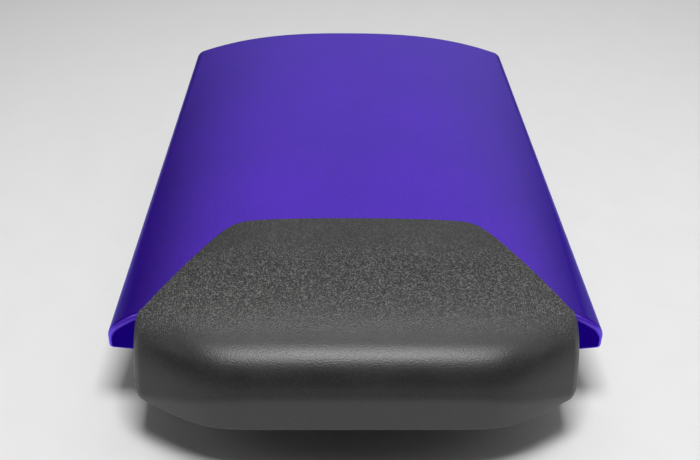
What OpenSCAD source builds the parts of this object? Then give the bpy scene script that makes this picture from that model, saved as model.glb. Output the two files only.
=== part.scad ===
// Seat cowl for the pillion place of a sport motorcycle: a painted shell with a
// black bump pad over its front edge, closed below by a ribbed tray that stands on
// four pedestals with rubber buffers and carries the lock striker and the rear tongue.
// Millimetres. +Y points to the rear, +X to the right, +Z up.

/* [Shell] */
// Width across the two front wings
shell_front_w = 250; // [235:1:265]
// Width across the rear corners
shell_rear_w = 192; // [175:1:210]
// Length from the front wings to the middle of the rear edge
shell_length = 249; // [230:1:275]
// Height of the crown at the front
front_crown = 73; // [70:0.5:80]
// Height of the crown at the rear
rear_crown = 67.2; // [63:0.2:75]
// Fall from the crown to the side edge at the front
front_fall = 24.2; // [20:0.2:27]
// Fall from the crown to the side edge at the rear
rear_fall = 12; // [9:0.2:15]
// Squareness of the arch at the front, as the power of its curve
front_power = 5.6; // [4:0.1:7]
// Squareness of the arch at the rear, as the power of its curve
rear_power = 2.8; // [2.2:0.1:4]
// Bulge of the front edge in plan
front_bow = 8; // [4:0.5:10]
// Bulge of the rear edge in plan
rear_bow = 5.3; // [0:0.1:10]
// Wall of the shell
wall = 3; // [2.4:0.1:3.6]
// Radius along the top of the side walls
edge_r = 4; // [3.8:0.1:6]
// Radius along the front edge
front_r = 2.4; // [1.5:0.1:2.8]
// Depth of the lip that hangs below the rear edge
rear_lip = 8; // [5:0.5:10]
// Height of the rim above the ground
rim_z = 36.6; // [35:0.2:39]

/* [Pad] */
// Width of the pad
pad_w = 219.4; // [208:0.2:222]
// Reach of the pad in front of the wings
pad_overhang = 48; // [44:0.5:54]
// Reach of the pad's flap behind the wings
flap_reach = 57; // [50:0.5:62]
// Width of the straight rear edge of the flap
flap_rear_w = 128; // [116:1:140]
// Thickness of the flap at its rear edge
flap_t = 4.5; // [4.3:0.1:6]
// Width of the flat front of the pad
pad_front_w = 132; // [116:1:144]
// Height of the crease across the front of the pad
crease_z = 51.6; // [46:0.2:56]
// Drop of the pad below the rim of the shell
pad_drop = 8.6; // [5:0.2:14]
// Gap between the pad and the shell
pad_gap = 0.3; // [0.2:0.05:0.5]

/* [Tray] */
// Height of the pedestals' ends above the ground
foot_z = 11; // [9:0.5:13]
// Wall of the tray
tray_t = 2.5; // [2:0.1:3]
// Distance between the front pedestals
front_feet = 112; // [100:1:124]
// Distance between the rear pedestals
rear_feet = 88; // [76:1:96]
// Radius of a pedestal at its end
pedestal_r = 14.5; // [14:0.5:16]
// Depth of the ribs under the tray
rib_depth = 5; // [3:0.5:6]
// Gap between the tray and the shell
tray_gap = 1.2; // [0.8:0.1:2]
// Height of the tray's plate above the rim
plate_inset = 2.4; // [1.5:0.1:3.5]

/* [Fittings] */
// Radius of the striker post
post_r = 4.5; // [4:0.1:5.5]
// Length of the striker post below its collar
post_length = 27; // [22:0.5:28]
// Width of the rear tongue
tongue_w = 36; // [30:1:44]
// Thickness of the steel plates
steel_t = 2.5; // [2:0.1:3]
// Radius of a rubber buffer
buffer_r = 11; // [9:0.5:13]
// Radius of the studs moulded into the pad
stud_r = 3; // [2.5:0.1:3.5]
// Radius of the screws that hold the tray
screw_r = 2.1; // [1.8:0.1:2.5]
// Radius of the bolts of the striker and the tongue
bolt_r = 2.5; // [2:0.1:3]

/* [Hidden] */

$fn = 48;
paint = [0.24, 0.09, 0.68];
black = [0.13, 0.13, 0.13];
moulding = [0.18, 0.18, 0.19];
rubber = [0.08, 0.08, 0.08];
steel = [0.72, 0.72, 0.74];

// Places along the shell: the origin is under the middle of the whole part
front_y = (pad_overhang - shell_length) / 2;
rear_y = front_y + shell_length;
arch_steps = 24;
length_steps = 9;
rim_r = 1.5;
inner_r = 0.8;
// How far a cutting body runs past the face that it opens
past = 20;

// Clearance of a hole round the screw, stud or bolt that passes it
hole_gap = 0.3;
thread_gap = 0.08;
washer_t = 1.2;
nut_t = 5;

function lerp(a, b, t) = a + (b - a) * t;
function smooth_min(a, b, k) = -k * ln(exp(-a / k) + exp(-b / k));
function smooth_max(a, b, k) = -smooth_min(-a, -b, k);

// The arch of the shell. v is 0 at the wings and 1 at the rear, d is an inset.
function station(y) = (y - front_y) / shell_length;
function half_w(v) = lerp(shell_front_w, shell_rear_w, v) / 2;
function bow(x, v) = -front_bow * (1 - v) * (1 - pow(x / half_w(v), 2)) - rear_bow * v * pow(x / half_w(v), 2);
function arch(x, v, d) =
    let (share = abs(x) / (half_w(v) - d), power = lerp(front_power, rear_power, v))
    lerp(front_crown, rear_crown, v) - d - lerp(front_fall, rear_fall, v) * pow(share, power);
function round_off(x, w, r) =
    let (q = min(1, max(0, (abs(x) - w + r) / r)))
    r * (1 - sqrt(1 - q * q));

// Places across one section: closer together towards the edges, then a quarter round
function columns(w, r) = [
    for (a = [90:-30:30]) -(w - r + r * sin(a)),
    for (i = [0:arch_steps]) let (s = 2 * i / arch_steps - 1) (w - r) * lerp(s, sin(90 * s), 0.5),
    for (a = [30:30:90]) w - r + r * sin(a)];

// One closed section of the shell: the arch from left to right, then the rim back
function section(y, d, floor_z, r) =
    let (v = station(y), w = half_w(v) - d, xs = columns(w, r), last = len(xs) - 1)
    concat(
        [for (x = xs) [x, y + bow(x, v), arch(x, v, d) - round_off(x, w, r)]],
        [for (i = [last:-1:0]) [xs[i], y + bow(xs[i], v), floor_z + round_off(xs[i], w, min(r, rim_r))]]);

// A skin through closed rings of equal length. The first half of a ring faces the second.
module loft(rings) {
    n = len(rings[0]);
    m = len(rings);
    end = (m - 1) * n;
    polyhedron(
        points = [for (ring = rings) each ring],
        faces = concat(
            [for (j = [0:m - 2], k = [0:n - 1])
                let (a = j * n + k, b = j * n + (k + 1) % n) each [[a, a + n, b + n], [a, b + n, b]]],
            [for (k = [0:n / 2 - 2])
                each [[k, k + 1, n - 2 - k], [k, n - 2 - k, n - 1 - k]]],
            [for (k = [0:n / 2 - 2])
                each [[end + k, end + n - 2 - k, end + k + 1], [end + k, end + n - 1 - k, end + n - 2 - k]]]));
}

// The closed body of the shell, inset by d, from y0 to y1, with its ends rounded by end_r
module cowl_body(d, floor_z, y0, y1, r, end_r) {
    loft(concat(
        [for (a = [0:30:60]) section(y0 + end_r * (1 - cos(a)), d + end_r * (1 - sin(a)), floor_z
            + end_r * (1 - sin(a)), r)],
        [for (i = [0:length_steps]) section(lerp(y0 + end_r, y1 - end_r, i / length_steps), d, floor_z, r)],
        [for (a = [60:-30:0]) section(y1 - end_r * (1 - cos(a)), d + end_r * (1 - sin(a)), floor_z
            + end_r * (1 - sin(a)), r)]));
}

// Heights of the tray
plate_z = rim_z + plate_inset;
plate_top = plate_z + tray_t;
foot_floor = foot_z + tray_t;

// Screws that hold the tray to the shell's bosses: left and right places from front to rear
boss_r = 6;
boss_side = 24;
boss_depth = 16;
boss_ys = [front_y + boss_side, front_y + shell_length * 0.5, rear_y - boss_side];
boss_places = [for (y = boss_ys, s = [-1, 1]) [s * (half_w(station(y)) - boss_side), y]];

module boss_places_do() {
    for (p = boss_places) translate([p[0], p[1], 0]) children();
}

// Studs of the pad: two go down through the flap's seat, two go back through the front wall
stud_head_r = 8;
stud_head_t = 1.8;
stud_tail = 2.5;
seat_r = 10;
seat_t = 1.5;
flap_stud_x = 40;
flap_stud_in = 24;
flap_stud_y = front_y + flap_stud_in;
flap_skin_z = arch(flap_stud_x, station(flap_stud_y), 0);
flap_seat_z = flap_skin_z - wall - seat_t;
front_stud_x = 70;
front_stud_z = lerp(rim_z - pad_drop, front_crown, 0.55);
front_skin_y = front_y + bow(front_stud_x, 0);
front_seat_y = front_skin_y + wall + seat_t;
front_head_y = front_skin_y - 1.3;

module flap_stud_do(z) {
    for (s = [-1, 1]) translate([s * flap_stud_x, flap_stud_y, z]) children();
}

// Places a child that is drawn along Z so that its Z runs to the rear
module front_stud_do(y) {
    for (s = [-1, 1]) translate([s * front_stud_x, y, front_stud_z]) rotate([-90, 0, 0]) children();
}

module cowl_shell() color(paint) difference() {
    cowl_body(0, rim_z, front_y, rear_y, edge_r, front_r);
    difference() {
        cowl_body(wall, rim_z - past, front_y + wall, rear_y - wall, inner_r, inner_r);
        boss_places_do() translate([0, 0, plate_top]) cylinder(r = boss_r, h = front_crown);
        flap_stud_do(flap_seat_z) cylinder(r = seat_r, h = front_crown);
        front_stud_do(front_seat_y - past) cylinder(r = seat_r, h = past);
    }
    cowl_body(rear_lip, rim_z - past, rear_y - 3 * wall, rear_y + past, inner_r, inner_r);
    boss_places_do() translate([0, 0, plate_top - 1]) cylinder(r = screw_r + thread_gap, h = boss_depth);
    flap_stud_do(flap_seat_z - 1) cylinder(r = stud_r + hole_gap, h = past);
    front_stud_do(front_skin_y - past / 2) cylinder(r = stud_r + hole_gap, h = past);
}

// Pad: places across it as a share, 0 over the flat front and 1 at the side, with a soft start
pad_side = pad_w / 2;
pad_floor = rim_z - pad_drop;
pad_side_r = 4;
pad_steps = 26;
flap_side_t = 1;
front_blend = 6;
slant_w = pad_side - pad_front_w / 2;
function chamfer(x) =
    smooth_max(0, abs(x) - pad_front_w / 2, front_blend) / smooth_max(0, slant_w, front_blend);
// Rear outline of the flap, from the wings backwards: a bowed edge and two diagonals
flap_bow = 1.5;
flap_corner = 1.8;
flap_tip = -2;
flap_tip_in = 2.2;
flap_blend = 4;
flap_back = 0.5;
function flap_edge(x) =
    let (side_run = pad_side - flap_tip_in - flap_rear_w / 2)
    smooth_min(
        flap_reach - flap_bow * pow(2 * x / flap_rear_w, 2),
        lerp(flap_reach - flap_corner, flap_tip, (abs(x) - flap_rear_w / 2) / side_run), flap_blend);

// Places of the brow, the nose and the crease from the wings: over the flat front, at the side
brow_ys = [-30, -4];
nose_in = 4.5;
nose_ys = [nose_in - pad_overhang, -17.5];
crease_ys = [-pad_overhang, -25.5];
crease_turn = 1.4;
top_turn = 1.5;
// How the top swells over the wings, and where the leaning face leaves the nose's curve
top_swell = 10;
brow_fall = [2, 0.4];
nose_fall = [4.8, 2.2];
face_share = [0.72, 0.6];
// Height of the chin at the side, and the bevel along its bottom edge
chin_h = 3;
chin_bevel = 1.5;
chin_in = 1;

// Side view of the pad at x as [y, z] from the wings: top, nose, leaning face, crease, chin
function pad_profile(x, s) =
    let (
        a = chamfer(x),
        rear = smooth_max(flap_edge(x), flap_back, flap_blend / 4),
        skin = arch(x, 0, 0),
        low = pad_floor + s,
        t = lerp(flap_t, flap_side_t, pow(abs(x) / pad_side, 3)),
        back = [rear, arch(x, rear / shell_length, 0) + t - s],
        brow = [lerp(brow_ys[0], brow_ys[1], pow(a, top_turn)), skin - lerp(brow_fall[0], brow_fall[1], a) - s],
        nose = [lerp(nose_ys[0], nose_ys[1], pow(a, top_turn)) + s, skin - lerp(nose_fall[0], nose_fall[1], a) - s],
        crease = [lerp(crease_ys[0], crease_ys[1], pow(a, crease_turn)) + s,
            max(low + chin_h, lerp(crease_z, pad_floor + chin_h, a))],
        face = lerp(nose, crease, lerp(face_share[0], face_share[1], a)),
        swell = top_swell * (rear - brow[0]) / (flap_reach - brow_ys[0]),
        chin = [crease[0] + chin_in, low],
        toe = chin + [chin_bevel, 0],
        under = [front_bow, low],
        tuck = [rear, back[1] - flap_t - wall])
    concat(
        [for (i = [0:6]) let (u = i / 6) lerp(back, brow, u) + [0, swell * u * (1 - u)]],
        [for (i = [1:5]) let (u = i / 5) lerp(lerp(brow, nose, u), lerp(nose, face, u), u)],
        [crease, chin + [0, chin_bevel], toe],
        [for (i = [1:5]) lerp(toe, under, i / 5)],
        [for (i = [1:10]) lerp(under, tuck, i / 10)]);

function pad_ring(x, s) = [for (p = pad_profile(x, s)) [x, front_y + p[0], p[1]]];

module pad_solid() {
    loft(concat(
        [for (a = [90:-30:30]) pad_ring(-(pad_side - pad_side_r + pad_side_r * sin(a)), pad_side_r * (1 - cos(a)))],
        [for (i = [0:pad_steps]) pad_ring((pad_side - pad_side_r) * (2 * i / pad_steps - 1), 0)],
        [for (a = [30:30:90]) pad_ring(pad_side - pad_side_r + pad_side_r * sin(a), pad_side_r * (1 - cos(a)))]));
}

module bump_pad() color(black) difference() {
    pad_solid();
    cowl_body(-pad_gap, pad_floor - past, front_y - pad_gap, rear_y, edge_r, front_r);
    flap_stud_do(flap_skin_z - 1) cylinder(r = stud_head_r + thread_gap, h = 1 + pad_gap + stud_head_t + thread_gap);
    front_stud_do(front_head_y - stud_head_t - thread_gap) cylinder(r = stud_head_r + thread_gap, h = past);
}

// A stud with its head at z = 0 and its shank up along Z, drawn for both places
module stud(length) {
    cylinder(r = stud_head_r, h = stud_head_t);
    cylinder(r = stud_r, h = stud_head_t + length);
}

module plain_washer(hole_r, outer_r, t) {
    difference() {
        cylinder(r = outer_r, h = t);
        translate([0, 0, -1]) cylinder(r = hole_r, h = t + 2);
    }
}

module hex_nut(hole_r, across, t) {
    difference() {
        cylinder(d = across / cos(30), h = t, $fn = 6);
        translate([0, 0, -1]) cylinder(r = hole_r, h = t + 2);
    }
}

flap_stud_length = pad_gap + wall + seat_t + washer_t + nut_t + stud_tail;
front_stud_length = front_seat_y - front_head_y + washer_t + nut_t + stud_tail;
nut_across = 3.3 * stud_r;

module flap_studs() color(steel)
    flap_stud_do(flap_skin_z + pad_gap + stud_head_t) mirror([0, 0, 1]) stud(flap_stud_length);

module flap_stud_washers() color(steel)
    flap_stud_do(flap_seat_z - washer_t) plain_washer(stud_r + hole_gap, stud_head_r, washer_t);

module flap_stud_nuts() color(steel)
    flap_stud_do(flap_seat_z - washer_t - nut_t) hex_nut(stud_r + thread_gap, nut_across, nut_t);

module front_studs() color(steel)
    front_stud_do(front_head_y - stud_head_t) stud(front_stud_length);

module front_stud_washers() color(steel)
    front_stud_do(front_seat_y) plain_washer(stud_r + hole_gap, stud_head_r, washer_t);

module front_stud_nuts() color(steel)
    front_stud_do(front_seat_y + washer_t) hex_nut(stud_r + thread_gap, nut_across, nut_t);

// Outline of the tray's plate: the inside of the shell less its gap
plate_margin = wall + tray_gap;
plate_corner = 3;
module plate_outline() {
    shares = [for (i = [-6:6]) i / 6];
    front_half = half_w(0.02) - plate_margin;
    rear_half = half_w(1) - plate_margin;
    offset(r = plate_corner) offset(delta = -plate_corner) polygon(concat(
        [for (u = shares) [u * front_half, front_y - front_bow * (1 - u * u) + plate_margin + 1]],
        [for (u = shares) [-u * rear_half, rear_y - rear_bow * u * u - plate_margin]]));
}

// Pedestals, each hollow from above, from the tray's plate down to its buffer
front_feet_in = 37;
rear_feet_in = 61;
front_feet_y = front_y + front_feet_in;
rear_feet_y = rear_y - rear_feet_in;
pedestal_flare = 3;
neck_r = 4;
barb_r = 6;
barb_h = 5;
feet = [[-front_feet / 2, front_feet_y], [front_feet / 2, front_feet_y],
    [-rear_feet / 2, rear_feet_y], [rear_feet / 2, rear_feet_y]];
module foot_do(i) {
    translate([feet[i][0], feet[i][1], 0]) children();
}

module pedestal(in, z0, z1) {
    translate([0, 0, z0]) cylinder(r1 = pedestal_r - in, r2 = pedestal_r + pedestal_flare - in, h = z1 - z0);
}

// Bosses under the plate that the striker and the tongue are bolted against
boss_plate_t = 3;
striker_in = 56;
striker_y = front_y + striker_in;
striker_z = plate_z - boss_plate_t;
striker_bolt_x = 19;
striker_bolt_y = 14;
striker_edge = 7;
plate_corner_r = 4;
module striker_bolt_do(z) {
    for (sx = [-1, 1], sy = [-1, 1])
        translate([sx * striker_bolt_x, striker_y + sy * striker_bolt_y, z]) children();
}

module rounded_plate(w, l, r) {
    offset(r = r) square([w - 2 * r, l - 2 * r], center = true);
}

// The pad of the tray that the striker sits on, and how far it runs past the plate
seat_past = 3;
seat_corner_r = 6;
module striker_pad() {
    reach = striker_edge + seat_past;
    rounded_plate(2 * (striker_bolt_x + reach), 2 * (striker_bolt_y + reach), seat_corner_r);
}

tongue_in = 44;
tongue_y = rear_y - tongue_in;
tongue_l = 24;
tongue_bolt_x = tongue_w / 2 - striker_edge;
module tongue_bolt_do(z) {
    for (s = [-1, 1]) translate([s * tongue_bolt_x, tongue_y, z]) children();
}

// Ribs under the plate: one row along each pair of pedestals, and cross ribs between them
rib_t = 2;
module rib_line(a, b) {
    run = b - a;
    translate([a[0], a[1], plate_z - rib_depth]) rotate([0, 0, atan2(run[1], run[0])])
        translate([0, -rib_t / 2, 0]) cube([norm(run), rib_t, rib_depth + 1]);
}

cross_ribs = 5;
rib_in = 6;
module ribs() {
    rib_line(feet[0], feet[2]);
    rib_line(feet[1], feet[3]);
    for (i = [0:cross_ribs - 1]) {
        y = lerp(front_feet_y, rear_feet_y, i / (cross_ribs - 1));
        side = half_w(station(y)) - plate_margin - rib_in;
        rib_line([-side, y], [side, y]);
    }
}

module base_tray() color(moulding) difference() {
    union() {
        translate([0, 0, plate_z]) linear_extrude(tray_t) plate_outline();
        ribs();
        for (i = [0:3]) foot_do(i) pedestal(0, foot_z, plate_z + 1);
        translate([0, striker_y, striker_z]) linear_extrude(boss_plate_t + 1) striker_pad();
        translate([0, tongue_y, striker_z]) linear_extrude(boss_plate_t + 1)
            rounded_plate(tongue_w + 2 * seat_past, tongue_l + 2 * seat_past, seat_corner_r);
    }
    translate([0, striker_y, striker_z - rib_depth]) linear_extrude(rib_depth) striker_pad();
    for (i = [0:3]) foot_do(i) pedestal(tray_t, foot_floor, plate_top + 1);
    for (i = [0:3]) foot_do(i) cylinder(r = neck_r + hole_gap / 2, h = foot_floor + 1);
    boss_places_do() translate([0, 0, plate_z - past / 2]) cylinder(r = screw_r + hole_gap, h = past);
    striker_bolt_do(striker_z - 1) cylinder(r = bolt_r + hole_gap, h = past / 2);
    translate([0, striker_y, striker_z - 1]) cylinder(r = post_r + hole_gap, h = past / 2);
    tongue_bolt_do(striker_z - 1) cylinder(r = bolt_r + hole_gap, h = past / 2);
}

// A pan-headed screw or bolt with its head down from z = 0 and its shank up
module pan_bolt(r, length) {
    head_r = 2 * r;
    head_t = 1.3 * r;
    rotate_extrude() polygon([
        [0, length], [r - 0.3, length], [r, length - 0.5], [r, 0], [head_r, 0],
        [head_r, -head_t * 0.5], [head_r * 0.8, -head_t * 0.85], [head_r * 0.4, -head_t], [0, -head_t]]);
}

module tray_screws() color(steel)
    boss_places_do() translate([0, 0, plate_z - washer_t]) pan_bolt(screw_r, washer_t + tray_t + boss_depth - 3);

module tray_screw_washers() color(steel)
    boss_places_do() translate([0, 0, plate_z - washer_t])
        plain_washer(screw_r + hole_gap, 2.6 * screw_r, washer_t);

// A rubber buffer: foot, neck through the end of the pedestal, and the barb above it
module buffer(i) {
    color(rubber) foot_do(i) rotate_extrude() polygon([
        [0, 0], [buffer_r - 2.5, 0], [buffer_r - 1, 0.8], [buffer_r - 0.4, 2.5],
        [buffer_r, foot_z], [neck_r, foot_z], [neck_r, foot_floor],
        [barb_r, foot_floor], [barb_r - 0.4, foot_floor + 1.5], [2.5, foot_floor + barb_h], [0, foot_floor + barb_h]]);
}

module front_left_buffer() buffer(0);
module front_right_buffer() buffer(1);
module rear_left_buffer() buffer(2);
module rear_right_buffer() buffer(3);

// Striker: a steel plate under its boss, and a turned post through both
collar_t = 3;
collar_r = post_r + 2.5;
groove_depth = 1.3;
module striker_plate() color(steel) difference() {
    translate([0, striker_y, striker_z - steel_t]) linear_extrude(steel_t)
        rounded_plate(2 * (striker_bolt_x + striker_edge), 2 * (striker_bolt_y + striker_edge), plate_corner_r);
    translate([0, striker_y, striker_z - steel_t - 1]) cylinder(r = post_r + thread_gap, h = steel_t + 2);
    striker_bolt_do(striker_z - steel_t - 1) cylinder(r = bolt_r + hole_gap, h = steel_t + 2);
}

post_past = 2;
post_top = plate_top + washer_t + nut_t + post_past;
collar_z = striker_z - steel_t - collar_t;
post_end = collar_z - post_length;
tip_bevel = 1.5;
thread_bevel = 0.8;
groove_z = post_end + 2 * tip_bevel;
groove_h = 3.6;
groove_slope = 0.6;
neck = post_r - groove_depth;
module striker_post() color(steel) translate([0, striker_y, 0]) rotate_extrude() polygon([
    [0, post_end], [post_r - tip_bevel, post_end], [post_r, post_end + tip_bevel], [post_r, groove_z],
    [neck, groove_z + groove_slope], [neck, groove_z + groove_h - groove_slope], [post_r, groove_z + groove_h],
    [post_r, collar_z], [collar_r, collar_z], [collar_r, collar_z + collar_t],
    [post_r, collar_z + collar_t], [post_r, post_top - thread_bevel], [post_r - thread_bevel, post_top],
    [0, post_top]]);

module striker_post_washer() color(steel) translate([0, striker_y, plate_top])
    plain_washer(post_r + hole_gap, 2 * post_r, washer_t);

module striker_post_nut() color(steel) translate([0, striker_y, plate_top + washer_t])
    hex_nut(post_r + thread_gap, 3.1 * post_r, nut_t);

bolt_length = steel_t + boss_plate_t + tray_t + nut_t;
module striker_bolts() color(steel)
    striker_bolt_do(striker_z - steel_t) pan_bolt(bolt_r, bolt_length);

module striker_nuts() color(steel)
    striker_bolt_do(plate_top) hex_nut(bolt_r + thread_gap, 3.2 * bolt_r, nut_t - 1);

// Tongue: a steel strip bolted under the tray that steps down and reaches to the rear
tongue_drop = 12;
tongue_bend = 8;
tongue_corner_r = 7;
tongue_end_in = 6;
tongue_end = rear_y - tongue_end_in;
module tongue_side() {
    z = striker_z;
    front = tongue_y - tongue_l / 2;
    bend = tongue_y + tongue_l / 2 - plate_corner_r;
    low = bend + tongue_bend;
    polygon([
        [front, z], [front, z - steel_t], [bend - 1, z - steel_t], [low - 1, z - steel_t - tongue_drop],
        [tongue_end, z - steel_t - tongue_drop], [tongue_end, z - tongue_drop],
        [low + 1, z - tongue_drop], [bend + 1, z]]);
}

module rear_tongue() color(steel) difference() {
    intersection() {
        translate([-tongue_w / 2, 0, 0]) rotate([90, 0, 90]) linear_extrude(tongue_w) tongue_side();
        translate([0, (tongue_end + tongue_y - tongue_l / 2) / 2, 0]) linear_extrude(plate_z)
            rounded_plate(tongue_w, tongue_end - tongue_y + tongue_l / 2, tongue_corner_r);
    }
    tongue_bolt_do(striker_z - steel_t - 1) cylinder(r = bolt_r + hole_gap, h = steel_t + 2);
}

module tongue_bolts() color(steel)
    tongue_bolt_do(striker_z - steel_t) pan_bolt(bolt_r, bolt_length);

module tongue_nuts() color(steel)
    tongue_bolt_do(plate_top) hex_nut(bolt_r + thread_gap, 3.2 * bolt_r, nut_t - 1);

cowl_shell();
bump_pad();
flap_studs();
flap_stud_washers();
flap_stud_nuts();
front_studs();
front_stud_washers();
front_stud_nuts();
base_tray();
tray_screws();
tray_screw_washers();
front_left_buffer();
front_right_buffer();
rear_left_buffer();
rear_right_buffer();
striker_plate();
striker_post();
striker_post_washer();
striker_post_nut();
striker_bolts();
striker_nuts();
rear_tongue();
tongue_bolts();
tongue_nuts();
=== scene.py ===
"""Seat cowl of a sport motorcycle: painted shell, grained bump pad, tray and steel fittings.

All lengths are in metres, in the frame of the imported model: +X right, +Y to the rear, +Z up, with
the origin on the ground under the middle of the part. The shell and the pad are worked out here as
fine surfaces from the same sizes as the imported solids. The other pieces keep their solids and get
finishes.
"""

import logging
from collections.abc import Sequence
from dataclasses import dataclass, field
from enum import Enum
from typing import Any

import bpy
import numpy as np
from mathutils import Matrix


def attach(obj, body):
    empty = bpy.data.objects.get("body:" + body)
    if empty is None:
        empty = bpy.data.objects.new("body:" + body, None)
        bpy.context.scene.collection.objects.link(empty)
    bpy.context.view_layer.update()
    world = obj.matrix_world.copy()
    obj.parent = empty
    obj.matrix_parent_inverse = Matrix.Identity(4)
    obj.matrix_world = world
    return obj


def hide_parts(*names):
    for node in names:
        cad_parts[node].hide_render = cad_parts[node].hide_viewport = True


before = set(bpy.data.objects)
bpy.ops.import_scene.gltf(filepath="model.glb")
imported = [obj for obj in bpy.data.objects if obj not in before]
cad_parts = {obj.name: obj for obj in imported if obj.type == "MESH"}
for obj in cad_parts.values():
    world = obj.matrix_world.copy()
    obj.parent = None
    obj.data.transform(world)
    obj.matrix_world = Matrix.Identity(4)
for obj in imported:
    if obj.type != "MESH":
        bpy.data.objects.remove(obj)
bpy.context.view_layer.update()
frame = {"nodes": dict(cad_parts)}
LOG = logging.getLogger("seat_cowl")
ROUND = 64
SIDES = (-1, 1)
MOST_OF_RUN = 0.45
Grid = np.ndarray
Pair = tuple[float, float]
Triple = tuple[float, float, float]


class Slot(Enum):
    """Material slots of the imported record."""

    PAINT = "shell_paint"
    PAD = "pad_skin"
    TRAY = "tray_plastic"
    RUBBER = "buffer_rubber"
    STEEL = "zinc_steel"


class Axis(Enum):
    """Ways that a round cutting body may run."""

    UP = "up"
    REARWARD = "rearward"


class Node:
    """One output of a shader node that takes part in sums and products.

    Each operator adds a Math node, or a Vector Math node where a side is a vector.
    """

    def __init__(self, finish: "Finish", socket: bpy.types.NodeSocket) -> None:
        """Wraps an output socket of a finish's node tree."""
        self.finish = finish
        self.socket = socket

    def _join(self, operation: str, first: Any, second: Any) -> "Node":
        """Adds the node of one operation.

        Args:
            operation: name of the operation of the Math node.
            first: left side, a Node or a number.
            second: right side, a Node or a number.

        Returns:
            The result as a Node.
        """
        vector = any(isinstance(v, Node) and v.socket.type == "VECTOR" for v in (first, second))
        kind = "ShaderNodeVectorMath" if vector else "ShaderNodeMath"
        return self.finish.add(kind, {"operation": operation}, {0: first, 1: second})

    def __add__(self, other: Any) -> "Node":
        """Self plus other."""
        return self._join("ADD", self, other)

    def __radd__(self, other: Any) -> "Node":
        """Other plus self."""
        return self._join("ADD", other, self)

    def __sub__(self, other: Any) -> "Node":
        """Self less other."""
        return self._join("SUBTRACT", self, other)

    def __rsub__(self, other: Any) -> "Node":
        """Other less self."""
        return self._join("SUBTRACT", other, self)

    def __mul__(self, other: Any) -> "Node":
        """Self times other."""
        return self._join("MULTIPLY", self, other)

    def __rmul__(self, other: Any) -> "Node":
        """Other times self."""
        return self._join("MULTIPLY", other, self)

    def between(self, low: float, high: float) -> "Node":
        """A smooth step of self: 0 at low and 1 at high, where low may be the larger.

        Args:
            low: value of self where the step starts.
            high: value of self where the step ends.

        Returns:
            The step as a Node from 0 to 1.
        """
        if low > high:
            return 1.0 - self.between(high, low)
        return self.finish.add("ShaderNodeMapRange", {"interpolation_type": "SMOOTHSTEP"},
                               {"Value": self, "From Min": low, "From Max": high})


class Finish:
    """Builds one procedural node tree, of a material or of the world."""

    def __init__(self, name: str, world: bpy.types.World | None = None) -> None:
        """Starts the tree.

        Args:
            name: name of the new material.
            world: a world to use in place of a new material.
        """
        self.owner = world or bpy.data.materials.new(name)
        self.owner.use_nodes = True
        self.tree = self.owner.node_tree
        last = ("BSDF_PRINCIPLED", "BACKGROUND")
        self.shader = next(n for n in self.tree.nodes if n.type in last)

    def _set(self, socket: bpy.types.NodeSocket, value: Any) -> None:
        """Links a Node to a socket, or sets the socket's own value.

        Args:
            socket: input socket of a node.
            value: a Node, a number, or the numbers of a colour or vector.
        """
        if isinstance(value, Node):
            self.tree.links.new(value.socket, socket)
        elif isinstance(value, (tuple, list)):
            socket.default_value = (*value, 1.0)[:len(socket.default_value)]
        elif hasattr(socket.default_value, "__len__"):
            socket.default_value = (value,) * len(socket.default_value)
        else:
            socket.default_value = value

    def add(self, kind: str, settings: dict[str, Any] | None = None,
            inputs: dict[int | str, Any] | None = None, output: int | str = 0) -> Node:
        """Adds a node of any type.

        Args:
            kind: type of the node.
            settings: properties of the node, set first.
            inputs: values or Nodes for its input sockets, by number or name.
            output: which output to return.

        Returns:
            That output as a Node.
        """
        node = self.tree.nodes.new(kind)
        for key, value in (settings or {}).items():
            setattr(node, key, value)
        for key, value in (inputs or {}).items():
            self._set(node.inputs[key], value)
        return Node(self, node.outputs[output])

    def place(self) -> Node:
        """Place on the piece, in metres."""
        return self.add("ShaderNodeTexCoord", output="Object")

    def facing(self) -> Node:
        """Direction that the surface faces, as a vector of length 1."""
        return self.add("ShaderNodeTexCoord", output="Normal")

    def parts(self, vector: Node) -> tuple[Node, Node, Node]:
        """The X, Y and Z of a vector."""
        outputs = self.add("ShaderNodeSeparateXYZ", inputs={0: vector}).socket.node.outputs
        return Node(self, outputs[0]), Node(self, outputs[1]), Node(self, outputs[2])

    def noise(self, size: float, detail: float = 2.0, stretch: Triple = (1, 1, 1)) -> Node:
        """Cloudy noise from 0 to 1.

        Args:
            size: size of its blots in metres.
            detail: number of finer layers in it.
            stretch: factor on each axis before the noise is read.

        Returns:
            The noise's value.
        """
        at = self.place() if stretch == (1, 1, 1) else self.place() * stretch
        return self.add("ShaderNodeTexNoise",
                        inputs={"Vector": at, "Scale": 1 / size, "Detail": detail})

    def cells(self, size: float) -> Node:
        """A random value from 0 to 1 for each cell of a given size in metres."""
        tint = self.add("ShaderNodeTexVoronoi", inputs={"Vector": self.place(), "Scale": 1 / size},
                        output="Color")
        return self.add("ShaderNodeSeparateColor", inputs={0: tint})

    def blend(self, share: Any, first: Triple | Node, second: Triple | Node) -> Node:
        """A colour between two: the first where share is 0, the second where it is 1."""
        return self.add("ShaderNodeMix", {"data_type": "RGBA"}, {0: share, 6: first, 7: second},
                        output=2)

    def bump(self, height: Node, depth: float, strength: float = 1.0) -> Node:
        """The normal bent by a height from 0 to 1, where a height of 1 stands for depth metres."""
        return self.add("ShaderNodeBump",
                        inputs={"Height": height, "Distance": depth, "Strength": strength})

    def finish(self, **inputs: Any) -> bpy.types.Material | bpy.types.World:
        """Sets the last shader's sockets.

        Args:
            inputs: values or Nodes by the socket's name, with _ for a space.

        Returns:
            The material, or the world.
        """
        for key, value in inputs.items():
            self._set(self.shader.inputs[key.replace("_", " ")], value)
        return self.owner


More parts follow.
